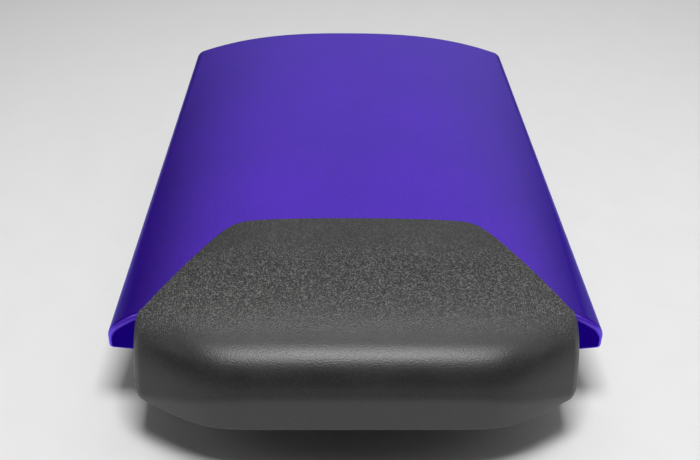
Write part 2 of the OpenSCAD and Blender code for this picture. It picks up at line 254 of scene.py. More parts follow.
@dataclass(frozen=True)
class FlakePaint:
    """Metallic violet-blue paint with flakes below a clear coat."""

    deep: Triple = (0.034, 0.0004, 0.34)
    bright: Triple = (0.098, 0.0014, 0.62)
    # painted highlight: a pale violet for the edge that is rounded over to the front
    painted_highlight: Triple = (0.17, 0.060, 1.0)
    # painted shade: a dark violet for the front wall
    painted_shade: Triple = (0.016, 0.0002, 0.25)
    edge: Triple = (0.30, 0.06, 0.90)
    flake_size: float = 0.00045
    flake_share: float = 0.55
    cloud_size: float = 0.05
    peel_size: float = 0.0035
    peel_depth: float = 0.00003
    lip: Pair = (-0.22, -0.50)
    wall: Pair = (-0.88, -0.98)
    top: Pair = (0.70, 0.97)
    roughness: float = 0.50
    flake_spread: float = 0.10
    cloud_spread: float = 0.04
    side_coat: float = 0.26
    top_coat: float = 0.42
    lip_coat: float = 0.50
    wall_loss: float = 0.94
    coat_roughness: float = 0.10

    def make(self) -> bpy.types.Material:
        """Flakes of two shades and two roughnesses under a coat with a faint orange peel.

        A painted highlight, a pale violet, lies on the edge that is rounded over to the front,
        where the surface faces partly forwards, with more coat; the front wall, which faces right
        forwards, carries a dark painted shade and a thin coat. The coat is thickest where the
        surface faces up.

        Returns:
            The material.
        """
        f = Finish("violet_flake_paint")
        flake, cloud = f.cells(self.flake_size), f.noise(self.cloud_size, detail=3.0)
        shade = flake * self.flake_share + cloud * (1 - self.flake_share)
        _, ahead, rise = f.parts(f.facing())
        # lip picks out the painted highlight on the rounded front edge, wall the painted shade
        wall, lip = ahead.between(*self.wall), ahead.between(*self.lip)
        tone = f.blend(lip, f.blend(shade, self.deep, self.bright), self.painted_highlight)
        coat = self.side_coat + self.top_coat * rise.between(*self.top)
        peel = f.noise(self.peel_size, detail=1.0)
        # the front wall gets the painted shade in place of the flakes' colour
        return f.finish(
            Base_Color=f.blend(wall, tone, self.painted_shade), Metallic=1.0, Specular_Tint=self.edge,
            Roughness=self.roughness + (flake - 0.5) * self.flake_spread
            + (cloud - 0.5) * self.cloud_spread,
            Coat_Weight=coat * (1.0 - self.wall_loss * wall) + self.lip_coat * lip * (1.0 - wall),
            Coat_Roughness=self.coat_roughness, Coat_IOR=1.5,
            Normal=f.bump(peel, self.peel_depth, strength=0.5))


@dataclass(frozen=True)
class BareShell:
    """Inside of the shell: dark moulded plastic that caught some of the violet spray."""

    plastic: Triple = (0.030, 0.030, 0.034)
    spray: Triple = (0.030, 0.008, 0.16)
    cloud_size: float = 0.03
    cloud: Pair = (0.42, 0.68)
    grain_size: float = 0.0006
    grain_depth: float = 0.00005
    roughness: float = 0.62
    gloss: float = 0.12

    def make(self) -> bpy.types.Material:
        """Overspray in soft clouds, a little glossier, on a finely textured plastic.

        Returns:
            The material.
        """
        f = Finish("shell_inside")
        cloud = f.noise(self.cloud_size, detail=4.0).between(*self.cloud)
        grain = f.bump(f.noise(self.grain_size), self.grain_depth, strength=0.5)
        return f.finish(Base_Color=f.blend(cloud, self.plastic, self.spray),
                        Roughness=self.roughness - self.gloss * cloud, Normal=grain)


@dataclass(frozen=True)
class GrainedFoam:
    """Skin of the moulded pad: pebbled on top, smooth along its edges and its front.

    Pairs that end in _y and _z are places where a change starts and ends, and those that end in
    _rise are heights of the direction that the surface faces.
    """

    dark: Triple = (0.006, 0.006, 0.006)
    pale: Triple = (0.160, 0.158, 0.155)
    pebble: float = 0.00058
    dent_ratio: float = 1.2
    dent_depth: float = 0.0014
    cloud_size: float = 0.030
    front_y: Pair = (-0.129, -0.099)
    rear_y: Pair = (-0.085, -0.057)
    top_z: Pair = (0.050, 0.066)
    rear_loss: float = 0.75
    grain: float = 0.70
    grain_spread: float = 0.6
    least_grain: float = 0.08
    # pale specks: the grain's own tone, partly painted glints on the pebbles
    speck_and_glint: Pair = (0.50, 1.00)
    speck_and_glint_share: float = 0.85
    base_share: float = 0.01
    # painted light: paler where the skin faces up
    painted_light_top_rise: Pair = (0.55, 0.95)
    painted_light_top_share: float = 0.04
    # painted light: paler on the chin, where the skin stands upright or faces down
    painted_light_chin_rise: Pair = (0.12, -0.02)
    painted_light_chin_share: float = 0.17
    # painted light: paler towards the front of the pad's top
    painted_light_ahead_y: Pair = (-0.075, -0.110)
    painted_light_ahead_share: float = 0.10
    cloud_share: float = 0.12
    roughness: float = 0.36
    roughness_spread: float = 0.08

    def make(self) -> bpy.types.Material:
        """Pale specks, partly painted glints, and dents that fade out towards the front and the
        rear edge.

        The share of the pale tone is a sum: a base, painted light where the skin faces up, painted
        light where it stands upright or faces down, as on the chin, painted light towards the
        front, soft clouds, and the specks, which are partly painted glints.

        Returns:
            The material.
        """
        f = Finish("grained_foam_skin")
        _, y, z = f.parts(f.place())
        _, _, rise = f.parts(f.facing())
        cloud = f.noise(self.cloud_size, detail=3.0)
        ahead = y.between(*self.front_y) * z.between(*self.top_z)
        edge = 1.0 - self.rear_loss * y.between(*self.rear_y)
        grain = ahead * edge * (self.grain + self.grain_spread * (cloud - 0.5)) + self.least_grain
        # pale specks of the grain, partly painted glints
        speck_and_glint = f.cells(self.pebble).between(*self.speck_and_glint)
        dents = f.noise(self.pebble * self.dent_ratio, detail=1.0) * grain
        # painted light: paler where the skin faces up
        shade = self.base_share + self.painted_light_top_share * rise.between(*self.painted_light_top_rise)
        # painted light: paler on the chin, where the skin stands upright or faces down
        shade = shade + self.painted_light_chin_share * rise.between(*self.painted_light_chin_rise)
        shade = shade + self.cloud_share * (cloud - 0.5)
        # painted light: paler towards the front; then the specks
        shade = shade + self.painted_light_ahead_share * y.between(*self.painted_light_ahead_y) + grain * speck_and_glint * self.speck_and_glint_share
        return f.finish(Base_Color=f.blend(shade, self.dark, self.pale),
                        Roughness=self.roughness + self.roughness_spread * cloud,
                        Specular_IOR_Level=0.45, Normal=f.bump(dents, self.dent_depth))


@dataclass(frozen=True)
class MouldedPlastic:
    """Black moulded plastic of the tray, with an eroded texture."""

    dark: Triple = (0.018, 0.018, 0.019)
    pale: Triple = (0.042, 0.042, 0.045)
    mark_size: float = 0.0008
    mark_depth: float = 0.00006
    flow_size: float = 0.05
    flow_stretch: Triple = (3.0, 1.0, 1.0)
    roughness: float = 0.50
    roughness_spread: float = 0.16

    def make(self) -> bpy.types.Material:
        """Fine erosion marks, with slow flow marks along the tray.

        Returns:
            The material.
        """
        f = Finish("tray_plastic")
        marks = f.noise(self.mark_size, detail=3.0)
        flow = f.noise(self.flow_size, detail=3.0, stretch=self.flow_stretch)
        return f.finish(Base_Color=f.blend(marks * 0.5 + flow * 0.5, self.dark, self.pale),
                        Roughness=self.roughness + self.roughness_spread * flow,
                        Normal=f.bump(marks, self.mark_depth, strength=0.8))


@dataclass(frozen=True)
class BufferRubber:
    """Moulded rubber with a pale bloom in soft clouds."""

    dark: Triple = (0.012, 0.012, 0.012)
    bloom: Triple = (0.055, 0.054, 0.052)
    cloud_size: float = 0.008
    cloud: Pair = (0.45, 0.75)
    bloom_share: float = 0.6
    pore_size: float = 0.0006
    pore_depth: float = 0.00005
    roughness: float = 0.60
    roughness_spread: float = 0.15

    def make(self) -> bpy.types.Material:
        """Bloom follows soft clouds; the skin has fine pores.

        Returns:
            The material.
        """
        f = Finish("buffer_rubber")
        cloud = f.noise(self.cloud_size, detail=4.0).between(*self.cloud)
        pores = f.noise(self.pore_size)
        return f.finish(Base_Color=f.blend(cloud * self.bloom_share, self.dark, self.bloom),
                        Roughness=self.roughness + self.roughness_spread * cloud,
                        Normal=f.bump(pores, self.pore_depth, strength=0.7))


@dataclass(frozen=True)
class ZincSteel:
    """Zinc-plated steel: bright, a little yellow and blue in patches, with drawing marks."""

    blue: Triple = (0.56, 0.60, 0.66)
    straw: Triple = (0.68, 0.64, 0.54)
    patch_size: float = 0.010
    patch: Pair = (0.35, 0.65)
    spangle_size: float = 0.0016
    drawn_size: float = 0.0006
    drawn_stretch: Triple = (1.0, 0.06, 0.3)
    drawn_depth: float = 0.00003
    roughness: float = 0.26
    roughness_spread: float = 0.16

    def make(self) -> bpy.types.Material:
        """Tint in patches, spangle in the roughness and drawing marks along the length.

        Returns:
            The material.
        """
        f = Finish("zinc_steel")
        patch = f.noise(self.patch_size, detail=3.0).between(*self.patch)
        spangle = f.noise(self.spangle_size)
        drawn = f.noise(self.drawn_size, stretch=self.drawn_stretch)
        return f.finish(Base_Color=f.blend(patch, self.blue, self.straw), Metallic=1.0,
                        Roughness=self.roughness + self.roughness_spread * spangle,
                        Normal=f.bump(drawn, self.drawn_depth, strength=0.5))


@dataclass(frozen=True)
class StudioRoom:
    """A dim room with a wide glow behind and above the part, as from a bright wall."""

    glow_to: Triple = (0.18, 0.77, 0.60)
    glow: float = 0.98
    dim: float = 0.05

    def make(self) -> bpy.types.World:
        """The glow falls with the fourth power of the cosine from its middle.

        Returns:
            The world.
        """
        f = Finish("studio_room", bpy.data.worlds.new("studio_room"))
        toward = f.add("ShaderNodeTexCoord", output="Generated")
        cosine = f.add("ShaderNodeVectorMath", {"operation": "DOT_PRODUCT"},
                       {0: toward, 1: self.glow_to}, output="Value")
        front = f.add("ShaderNodeMath", {"operation": "MAXIMUM"}, {0: cosine, 1: 0.0})
        square = front * front
        return f.finish(Color=(1.0, 1.0, 1.0), Strength=self.dim + self.glow * square * square)


@dataclass(frozen=True)
class PaleFloor:
    """Plain pale floor of the studio, with a painted shade that darkens it at a distance."""

    tone: Triple = (0.71, 0.71, 0.71)
    faint: Triple = (0.67, 0.67, 0.67)
    # painted shade: the tone of the floor far off and in front
    painted_far_shade: Triple = (0.36, 0.36, 0.37)
    mottle_size: float = 0.02
    middle: Pair = (0.10, -0.30)
    area: Pair = (0.9, 0.03)
    front_y: Pair = (-0.46, -0.25)
    tooth_size: float = 0.002
    tooth_depth: float = 0.0001

    def make(self) -> bpy.types.Material:
        """A faint mottle, under a painted shade that grows with the square of the distance, and
        towards the front.

        Returns:
            The material.
        """
        f = Finish("pale_floor")
        mottle = f.blend(f.noise(self.mottle_size, detail=3.0), self.tone, self.faint)
        tooth = f.noise(self.tooth_size)
        x, y, _ = f.parts(f.place())
        near = y.between(*self.front_y)
        x, y = x - self.middle[0], y - self.middle[1]
        # painted shade: far off and in front the floor turns to the painted shade tone
        far = 1.0 - near * (x * x + y * y).between(*self.area)
        return f.finish(Base_Color=f.blend(far, mottle, self.painted_far_shade), Roughness=0.55,
                        Normal=f.bump(tooth, self.tooth_depth, strength=0.25))


def lerp(a: Any, b: Any, t: Any) -> Any:
    """The value that lies at the share t of the way from a to b."""
    return a + (b - a) * t


def soft_max(a: Any, b: Any, blend: float) -> Any:
    """The larger of two values, changing over a length blend: the log of summed powers."""
    return blend * np.logaddexp(np.asarray(a) / blend, np.asarray(b) / blend)


def line(p: Grid, q: Grid, count: int, rise: Any = 0.0) -> Grid:
    """Points from p towards q without q, raised by a parabola.

    Args:
        p: first points, one (y, z) for each place across.
        q: last points.
        count: number of points on each line.
        rise: four times the parabola's height, for each place across.

    Returns:
        Array of shape (count, places across, 2).
    """
    u = (np.arange(count) / count)[:, None, None]
    points = lerp(p, q, u)
    points[..., 1] += rise * (u * (1 - u))[..., 0]
    return points


def curve(p: Grid, c: Grid, q: Grid, count: int) -> Grid:
    """Points of the quadratic curve from p to q with its corner at c, without q."""
    u = (np.arange(count) / count)[:, None, None]
    return lerp(lerp(p, c, u), lerp(c, q, u), u)


def towards(p: Grid, q: Grid, reach: Any) -> Grid:
    """The point at a distance from p on the way to q, at most MOST_OF_RUN of the way.

    Args:
        p: points to start from.
        q: points to go towards.
        reach: the distance.

    Returns:
        The points.
    """
    run = q - p
    length = np.linalg.norm(run, axis=-1, keepdims=True)
    return p + run * np.minimum(np.asarray(reach) / length, MOST_OF_RUN)


def mesh_piece(name: str, points: Grid, faces: Sequence[Sequence[int]]) -> bpy.types.Object:
    """Makes a mesh object at the origin from whole arrays.

    Args:
        name: name of the piece.
        points: array of points, one row each.
        faces: corner numbers of each face.

    Returns:
        The new object, linked to the scene.
    """
    mesh = bpy.data.meshes.new(name)
    mesh.from_pydata(points, [], faces)
    mesh.validate()
    piece = bpy.data.objects.new(name, mesh)
    bpy.context.scene.collection.objects.link(piece)
    return piece


def loft(name: str, rings: Grid) -> bpy.types.Object:
    """Skins closed rings into a closed body.

    The side is the grid of ring number and place along the ring, wrapped along the ring. Each end
    is closed by strips that join the first half of its ring to the second half, place by place.

    Args:
        name: name of the piece.
        rings: array of shape (rings, points of a ring, 3), with an even number of points.

    Returns:
        The closed mesh object, with its faces outwards.
    """
    m, n, _ = rings.shape
    j, k = np.meshgrid(np.arange(m - 1), np.arange(n), indexing="ij")
    after = (k + 1) % n
    side = np.stack([j * n + k, j * n + after, (j + 1) * n + after, (j + 1) * n + k], -1)
    k = np.arange(n // 2 - 1)
    first = np.stack([k, n - 1 - k, n - 2 - k, k + 1], -1)
    last = (first + (m - 1) * n)[:, ::-1]
    faces = np.concatenate([side.reshape(-1, 4), first, last])
    return mesh_piece(name, rings.reshape(-1, 3), faces.tolist())


def cylinder(name: str, centre: Triple, radius: float, height: float,
             axis: Axis = Axis.UP) -> bpy.types.Object:
    """A round cutting body that starts at a point and runs along an axis.

    A circle of ROUND points is carried from one end to the other.

    Args:
        name: name of the body.
        centre: middle of its first end.
        radius: radius.
        height: length along the axis.
        axis: the way it runs.

    Returns:
        The closed mesh object.
    """
    a = np.linspace(0, 2 * np.pi, ROUND, endpoint=False)
    circle = np.stack([radius * np.cos(a), radius * np.sin(a), np.zeros(ROUND)], -1)
    ends = np.concatenate([circle, circle + (0, 0, height)])
    if axis is Axis.REARWARD:
        ends = ends[:, [0, 2, 1]] * (1, 1, -1)
    k = np.arange(ROUND)
    after = (k + 1) % ROUND
    faces = np.stack([k, after, after + ROUND, k + ROUND], -1).tolist()
    faces += [k[::-1].tolist(), (k + ROUND).tolist()]
    return mesh_piece(name, ends + np.array(centre), faces)


def cut(piece: bpy.types.Object, cutters: Sequence[bpy.types.Object]) -> None:
    """Takes closed bodies away from a piece, one after the other, and removes them.

    Args:
        piece: the body that is kept.
        cutters: the bodies to take away.
    """
    for cutter in cutters:
        modifier = piece.modifiers.new("solid", "BOOLEAN")
        modifier.operation = "DIFFERENCE"
        modifier.solver = "MANIFOLD"
        modifier.object = cutter
        evaluated = piece.evaluated_get(bpy.context.evaluated_depsgraph_get())
        mesh = bpy.data.meshes.new_from_object(evaluated)
        piece.modifiers.clear()
        old, piece.data = piece.data, mesh
        bpy.data.meshes.remove(old)
        bpy.data.objects.remove(cutter)
    piece.data.name = piece.name


def smooth(piece: bpy.types.Object, angle: float) -> None:
    """Shades a piece smoothly, apart from edges sharper than the angle in degrees."""
    piece.data.shade_smooth()
    piece.data.set_sharp_from_angle(angle=float(np.radians(angle)))


def hand_in(piece: bpy.types.Object, node: str) -> None:
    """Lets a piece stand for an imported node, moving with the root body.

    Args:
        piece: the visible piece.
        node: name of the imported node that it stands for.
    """
    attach(piece, "root")
    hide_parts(node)
    LOG.info("%s: %d faces for %s", piece.name, len(piece.data.polygons), node)


@dataclass
class Arch:
    """The arched form of the shell, from the wings at the front to the rear edge."""

    front_w: float = 0.250
    rear_w: float = 0.192
    length: float = 0.249
    front_crown: float = 0.073
    rear_crown: float = 0.0672
    front_fall: float = 0.0242
    rear_fall: float = 0.012
    front_power: float = 5.6
    rear_power: float = 2.8
    front_bow: float = 0.008
    rear_bow: float = 0.0053
    rim_z: float = 0.0366
    rim_r: float = 0.0015
    front_y: float = -0.1005
    turn_steps: int = 10

    @property
    def rear_y(self) -> float:
        """Place of the rear edge's middle."""
        return self.front_y + self.length

    def station(self, y: Any) -> Any:
        """Share of the length: 0 at the wings and 1 at the rear."""
        return (y - self.front_y) / self.length

    def half_w(self, v: Any) -> Any:
        """Half of the width at a share of the length."""
        return lerp(self.front_w, self.rear_w, v) / 2

    def bow(self, x: Any, v: Any) -> Any:
        """How far an across line bulges: forwards at the front's middle, back at the rear's."""
        share = (x / self.half_w(v)) ** 2
        return -self.front_bow * (1 - v) * (1 - share) - self.rear_bow * v * share

    def height(self, x: Any, v: Any, inset: Any = 0.0) -> Any:
        """Height of the arch: the crown less a fall that grows with a power of the width's share.

        Args:
            x: places across.
            v: shares of the length.
            inset: how far inside the outer skin.

        Returns:
            The heights.
        """
        share = np.abs(x) / (self.half_w(v) - inset)
        fall = lerp(self.front_fall, self.rear_fall, v)
        power = lerp(self.front_power, self.rear_power, v)
        return lerp(self.front_crown, self.rear_crown, v) - inset - fall * share ** power

    @staticmethod
    def round_off(x: Any, w: Any, r: Any) -> Any:
        """Drop of a quarter round of radius r that ends at the half width w."""
        q = np.clip((np.abs(x) - w + r) / r, 0, 1)
        return r * (1 - np.sqrt(1 - q * q))

    def body(self, name: str, inset: float, floor_z: float, ends: Pair, r: float, end_r: float,
             across: int = 150, along: int = 110) -> bpy.types.Object:
        """The closed arched body, inset from the outer skin, with rounded ends.

        Rings lie across the body. On each, the places across follow the mean of a line and a sine,
        which crowds them towards the sides, then a quarter round; the top follows the arch and the
        bottom the floor. Towards an end the inset and the floor grow along a quarter round.

        Args:
            name: name of the body.
            inset: how far inside the outer skin; less than zero grows it.
            floor_z: height of its bottom.
            ends: its front and rear places.
            r: radius along the top of its sides.
            end_r: radius of its ends.
            across: number of places across the flat of a ring.
            along: number of rings between the ends.

        Returns:
            The mesh object.
        """
        turn = np.radians(np.linspace(0, 90, self.turn_steps)[:-1])
        y0, y1 = ends
        lead = end_r * (1 - np.cos(turn))
        y = np.concatenate([y0 + lead, np.linspace(y0 + end_r, y1 - end_r, along),
                            (y1 - lead)[::-1]])
        grow = end_r * (1 - np.sin(turn))
        extra = np.concatenate([grow, np.zeros(along), grow[::-1]])
        v = self.station(y)
        w = self.half_w(v) - inset - extra
        s = np.linspace(-1, 1, across)
        flats = (w - r)[:, None] * lerp(s, np.sin(s * np.pi / 2), 0.5)
        corner = np.radians(np.linspace(90, 0, self.turn_steps)[:-1])
        rounds = (w - r)[:, None] + r * np.sin(corner)
        x = np.concatenate([-rounds, flats, rounds[:, ::-1]], 1)
        v, w, extra, y = v[:, None], w[:, None], extra[:, None], y[:, None]
        along_y = y + self.bow(x, v)
        top = self.height(x, v, inset + extra) - self.round_off(x, w, r)
        bottom = floor_z + extra + self.round_off(x, w, min(r, self.rim_r))
        upper = np.stack([x, along_y, top], -1)
        lower = np.stack([x, along_y, bottom], -1)[:, ::-1]
        return loft(name, np.concatenate([upper, lower], 1))


@dataclass
class StudPlaces:
    """Places and sizes of the pad's studs, shared by the shell and the pad."""

    arch: Arch
    radius: float = 0.0033
    head_r: float = 0.00808
    head_t: float = 0.00188
    head_in: float = 0.0013
    flap_x: float = 0.040
    flap_in: float = 0.024
    front_x: float = 0.070
    front_z: float = 0.05275

    @property
    def flap_y(self) -> float:
        """Place of the flap's studs along the shell."""
        return self.arch.front_y + self.flap_in

    @property
    def flap_skin(self) -> float:
        """Height of the skin at the flap's studs."""
        return float(self.arch.height(self.flap_x, self.arch.station(self.flap_y)))

    @property
    def front_skin(self) -> float:
        """Place of the front wall's skin at the front studs."""
        return self.arch.front_y + float(self.arch.bow(self.front_x, 0.0))


@dataclass
class PaintedShell:
    """The painted shell with its inside, its rear opening, its bosses and its stud holes."""

    arch: Arch
    studs: StudPlaces
    wall: float = 0.003
    edge_r: float = 0.004
    front_r: float = 0.0026
    inner_r: float = 0.0008
    rear_lip: float = 0.008
    past: float = 0.020
    tall: float = 0.080
    into: float = 0.001
    boss_r: float = 0.006
    boss_in: float = 0.024
    boss_hole: float = 0.00218
    boss_depth: float = 0.016
    boss_floor: float = 0.0415
    seat_r: float = 0.010
    seat_t: float = 0.0015
    sharp: float = 40
    piece: bpy.types.Object = field(init=False)

    @property
    def seat_z(self) -> float:
        """Height of the lower face of the flap studs' seats."""
        return self.studs.flap_skin - self.wall - self.seat_t

    def hollow(self, places: list[Pair]) -> bpy.types.Object:
        """The body of the inside, less the bosses and the stud seats that stay.

        Args:
            places: the bosses' middles.

        Returns:
            The body to take away from the shell.
        """
        arch, studs, low = self.arch, self.studs, self.arch.rim_z - self.past
        ends = (arch.front_y + self.wall, arch.rear_y - self.wall)
        inner = arch.body("shell_inside", self.wall, low, ends, self.inner_r, self.inner_r,
                          across=90, along=70)
        seat_y = studs.front_skin + self.wall + self.seat_t - self.past
        kept = [cylinder("boss", (x, y, self.boss_floor), self.boss_r, self.tall)
                for x, y in places]
        kept += [cylinder("flap_seat", (s * studs.flap_x, studs.flap_y, self.seat_z), self.seat_r,
                          self.tall) for s in SIDES]
        kept += [cylinder("front_seat", (s * studs.front_x, seat_y, studs.front_z), self.seat_r,
                          self.past, Axis.REARWARD) for s in SIDES]
        cut(inner, kept)
        return inner

    def build(self) -> None:
        """Outer body less the inside, the rear opening, and the holes of the bosses and studs."""
        arch, studs = self.arch, self.studs
        y0, y1, low = arch.front_y, arch.rear_y, arch.rim_z - self.past
        self.piece = arch.body("painted_shell", 0.0, arch.rim_z, (y0, y1), self.edge_r,
                               self.front_r, across=220, along=150)
        places = [(s * (float(arch.half_w(arch.station(y))) - self.boss_in), y)
                  for y in (y0 + self.boss_in, y0 + arch.length / 2, y1 - self.boss_in)
                  for s in SIDES]
        ends = (y1 - 3 * self.wall, y1 + self.past)
        cuts = [self.hollow(places),
                arch.body("rear_opening", self.rear_lip, low, ends, self.inner_r, self.inner_r,
                          across=90, along=12)]
        cuts += [cylinder("boss_hole", (x, y, self.boss_floor - self.into), self.boss_hole,
                          self.boss_depth) for x, y in places]
        cuts += [cylinder("flap_hole", (s * studs.flap_x, studs.flap_y, self.seat_z - self.into),
                          studs.radius, self.past) for s in SIDES]
        cuts += [cylinder("front_hole", (s * studs.front_x, studs.front_skin - self.past / 2,
                                         studs.front_z), studs.radius, self.past, Axis.REARWARD)
                 for s in SIDES]
        cut(self.piece, cuts)
        smooth(self.piece, self.sharp)

    def dress(self) -> None:
        """Paint outside and bare plastic inside, where a face's middle lies below the skin."""
        mesh = self.piece.data
        mesh.materials.clear()
        mesh.materials.append(FlakePaint().make())
        mesh.materials.append(BareShell().make())
        middle = np.empty(len(mesh.polygons) * 3)
        mesh.polygons.foreach_get("center", middle)
        x, y, z = middle.reshape(-1, 3).T
        arch, depth = self.arch, self.wall * 0.5
        v = np.clip(arch.station(y), 0, 1)
        v = np.clip(arch.station(y - arch.bow(x, v)), 0, 1)
        inside = (np.abs(x) < arch.half_w(v) - depth) & (z > arch.rim_z + depth)
        inside &= z < arch.height(x, v) - depth
        inside &= (v > depth / arch.length) & (v < 1 - depth / arch.length)
        mesh.polygons.foreach_set("material_index", inside.astype(np.int32))
        hand_in(self.piece, "cowl_shell")


@dataclass
class BumpPad:
    """The moulded pad that lies on the shell's front edge and hangs down in front of it.

    Places are measured from the wings, and falls from the skin of the shell. In a pair, the first
    value holds over the flat front and the second at the side. The counts are the numbers of
    points on the stretches of a side view, in the order in which rings joins them.
    """

    arch: Arch
    studs: StudPlaces
    width: float = 0.2194
    overhang: float = 0.048
    flap_reach: float = 0.057
    flap_rear_w: float = 0.128
    flap_bow: float = 0.0015
    flap_corner: float = 0.0018
    flap_tip: float = -0.002
    flap_tip_in: float = 0.0022
    flap_blend: float = 0.004
    flap_t: float = 0.0045
    flap_side_t: float = 0.001
    flap_power: int = 3
    flap_back: float = 0.0005
    front_w: float = 0.132
    front_blend: float = 0.006
    brow_y: Pair = (-0.030, -0.004)
    brow_fall: Pair = (0.0020, 0.0004)
    nose_in: float = 0.0045
    nose_side_y: float = -0.0175
    nose_fall: Pair = (0.0048, 0.0022)
    top_turn: float = 1.5
    crease_side_y: float = -0.0255
    crease_z: float = 0.0516
    crease_turn: float = 1.4
    face_share: Pair = (0.72, 0.6)
    drop: float = 0.0086
    gap: float = 0.0003
    side_r: float = 0.004
    chin_h: float = 0.003
    chin_in: float = 0.001
    tuck_in: float = 0.003
    swell: float = 0.010
    rear_round: float = 0.0020
    crease_round: float = 0.0045
    chin_round: float = 0.0018
    grown_edge_r: float = 0.004
    grown_front_r: float = 0.0024
    past: float = 0.020
    into: float = 0.001
    turn_steps: int = 12
    across: int = 361
    counts: tuple[int, ...] = (46, 40, 8, 12, 14, 7, 8, 10, 4, 9)
    sharp: float = 38
    piece: bpy.types.Object = field(init=False)

    @property
    def side(self) -> float:
        """Half of the pad's width."""
        return self.width / 2

    @property
    def floor(self) -> float:
        """Height of the pad's bottom."""
        return self.arch.rim_z - self.drop

    def flap_edge(self, x: Grid) -> Grid:
        """Rear outline of the flap: the lower of a bowed line and two slanting ones, blended.

        Args:
            x: places across.

        Returns:
            How far behind the wings the flap reaches.
        """
        half = self.flap_rear_w / 2
        run = self.side - self.flap_tip_in - half
        bowed = self.flap_reach - self.flap_bow * (2 * x / self.flap_rear_w) ** 2
        slant = lerp(self.flap_reach - self.flap_corner, self.flap_tip, (np.abs(x) - half) / run)
        return -soft_max(-bowed, -slant, self.flap_blend)

    def turned(self, x: Grid) -> Grid:
        """Share of the turn towards a side: 0 over the flat front and 1 at the side, softly."""
        half = self.front_w / 2
        return (soft_max(0, np.abs(x) - half, self.front_blend)
                / soft_max(0, self.side - half, self.front_blend))

    def rings(self) -> Grid:
        """Side views of the pad, carried across it.

        At each place across, eight corners are worked out: back, brow, nose, face, crease, chin,
        under and tuck. The top is a line with a parabola added, the nose a quadratic curve, and
        the rear edge, the crease and the chin are turned by quadratic curves of their own reach.
        Towards a side all corners are drawn in along a quarter round.

        Returns:
            Array of shape (places across, points of a side view, 3).
        """
        turn = np.radians(np.linspace(90, 0, self.turn_steps)[:-1])
        inner = self.side - self.side_r
        edge_x = inner + self.side_r * np.sin(turn)
        edge_s = self.side_r * (1 - np.cos(turn))
        flat_x = np.linspace(-inner, inner, self.across)
        x = np.concatenate([-edge_x, flat_x, edge_x[::-1]])
        s = np.concatenate([edge_s, np.zeros_like(flat_x), edge_s[::-1]])
        arch, low, a = self.arch, self.floor, self.turned(x)
        rear = soft_max(self.flap_edge(x), self.flap_back, self.flap_blend / 4)
        skin = arch.height(x, 0.0)
        t = lerp(self.flap_t, self.flap_side_t, (np.abs(x) / self.side) ** self.flap_power)
        top_a, crease_a = a ** self.top_turn, a ** self.crease_turn

        def corner(y: Any, z: Any) -> Grid:
            """A corner at every place across, as an array of (y, z)."""
            return np.stack(np.broadcast_arrays(y, z, x)[:2], -1)

        back = corner(rear, arch.height(x, rear / arch.length) + t - s)
        brow = corner(lerp(*self.brow_y, top_a), skin - lerp(*self.brow_fall, a) - s)
        nose = corner(lerp(self.nose_in - self.overhang, self.nose_side_y, top_a) + s,
                      skin - lerp(*self.nose_fall, a) - s)
        crease = corner(lerp(-self.overhang, self.crease_side_y, crease_a) + s, np.maximum(
            low + self.chin_h + s, lerp(self.crease_z, low + self.chin_h, a)))
        face = lerp(nose, crease, lerp(*self.face_share, a)[:, None])
        chin = corner(crease[:, 0] + self.chin_in, low + s)
        under = corner(arch.front_bow, low + s)
        tuck = corner(rear, back[:, 1] - self.flap_t - self.tuck_in)
        top_in = towards(back, brow, self.rear_round)
        down_in = towards(back, tuck, np.minimum(self.rear_round, t * MOST_OF_RUN)[:, None])
        crease_in = towards(crease, face, self.crease_round)
        crease_out = towards(crease, chin, self.crease_round)
        chin_in = towards(chin, crease, self.chin_round)
        chin_out = towards(chin, under, self.chin_round)
        swell = self.swell * (rear - brow[:, 0]) / (self.flap_reach - self.brow_y[0])
        n = self.counts
        points = np.concatenate([
            line(top_in, brow, n[0], swell), curve(brow, nose, face, n[1]),
            line(face, crease_in, n[2]), curve(crease_in, crease, crease_out, n[3]),
            line(crease_out, chin_in, n[4]), curve(chin_in, chin, chin_out, n[5]),
            line(chin_out, under, n[6]), line(under, tuck, n[7]), line(tuck, down_in, n[8]),
            curve(down_in, back, top_in, n[9])]).transpose(1, 0, 2)
        place = np.broadcast_to(x[:, None], points.shape[:2])
        return np.stack([place, arch.front_y + points[..., 0], points[..., 1]], -1)

    def build(self) -> None:
        """The skinned side views less the grown shell and the pockets of the stud heads."""
        arch, studs = self.arch, self.studs
        self.piece = loft("bump_pad_skin", self.rings())
        cuts = [arch.body("grown_shell", -self.gap, self.floor - self.past,
                          (arch.front_y - self.gap, arch.rear_y), self.grown_edge_r,
                          self.grown_front_r, across=180, along=110)]
        head_y = studs.front_skin - studs.head_in - studs.head_t
        cuts += [cylinder("flap_pocket", (s * studs.flap_x, studs.flap_y,
                                          studs.flap_skin - self.into), studs.head_r,
                          self.into + self.gap + studs.head_t) for s in SIDES]
        cuts += [cylinder("front_pocket", (s * studs.front_x, head_y, studs.front_z),
                          studs.head_r, self.past, Axis.REARWARD) for s in SIDES]
        cut(self.piece, cuts)
        smooth(self.piece, self.sharp)

    def dress(self) -> None:
        """Grained foam skin."""
        self.piece.data.materials.clear()
        self.piece.data.materials.append(GrainedFoam().make())
        hand_in(self.piece, "bump_pad")


@dataclass
class Fittings:
    """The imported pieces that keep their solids: tray, buffers and steel fittings."""

    nodes: dict[str, bpy.types.Object]
    tray: str = "base_tray"
    buffers: tuple[str, ...] = ("front_left_buffer", "front_right_buffer", "rear_left_buffer",
                                "rear_right_buffer")
    replaced: tuple[str, ...] = ("cowl_shell", "bump_pad")

    def dress(self) -> None:
        """Gives each node the finish of its slot."""
        plastic, rubber, steel = MouldedPlastic().make(), BufferRubber().make(), ZincSteel().make()
        for name, node in self.nodes.items():
            if name in self.replaced:
                continue
            finish = plastic if name == self.tray else rubber if name in self.buffers else steel
            for slot in node.material_slots:
                slot.material = finish
            LOG.info("%s: %s", name, finish.name)


